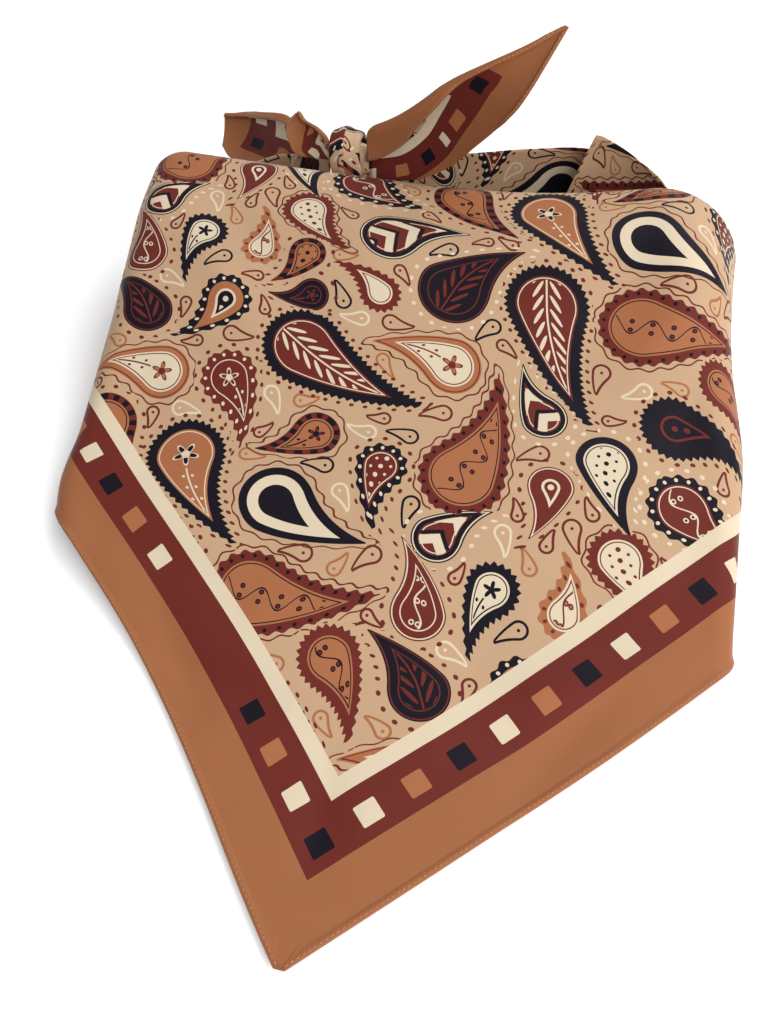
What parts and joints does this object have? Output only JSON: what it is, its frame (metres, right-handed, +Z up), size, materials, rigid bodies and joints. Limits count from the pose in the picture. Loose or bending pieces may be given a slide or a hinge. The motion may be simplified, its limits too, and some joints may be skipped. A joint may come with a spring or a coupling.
{
  "type": "tied silk scarf",
  "caption": "Square printed silk scarf folded on its diagonal, knotted into a loop and laid down, with a raised neck roll and two free ends.",
  "frame": {"origin": "middle of the base, on the surface the scarf lies on", "axes": "+Z up; -Y towards the free front corner of the folded square, +Y towards the knot; +X right"},
  "size_m": [0.261, 0.3804, 0.1217],
  "materials": {
    "printed_silk": "satin",
    "border_silk": "satin"
  },
  "bodies": {
    "root": {"front_panel": "printed_silk", "neck_roll": "printed_silk", "under_layer": "printed_silk", "right_side_stretch": "printed_silk", "right_back_stretch": "printed_silk", "left_back_stretch": "printed_silk", "knot_core": "printed_silk", "knot_wrap": "printed_silk", "right_tail": "border_silk", "left_tail": "border_silk", "left_tail_fold": "border_silk"}
  },
  "joints": []
}
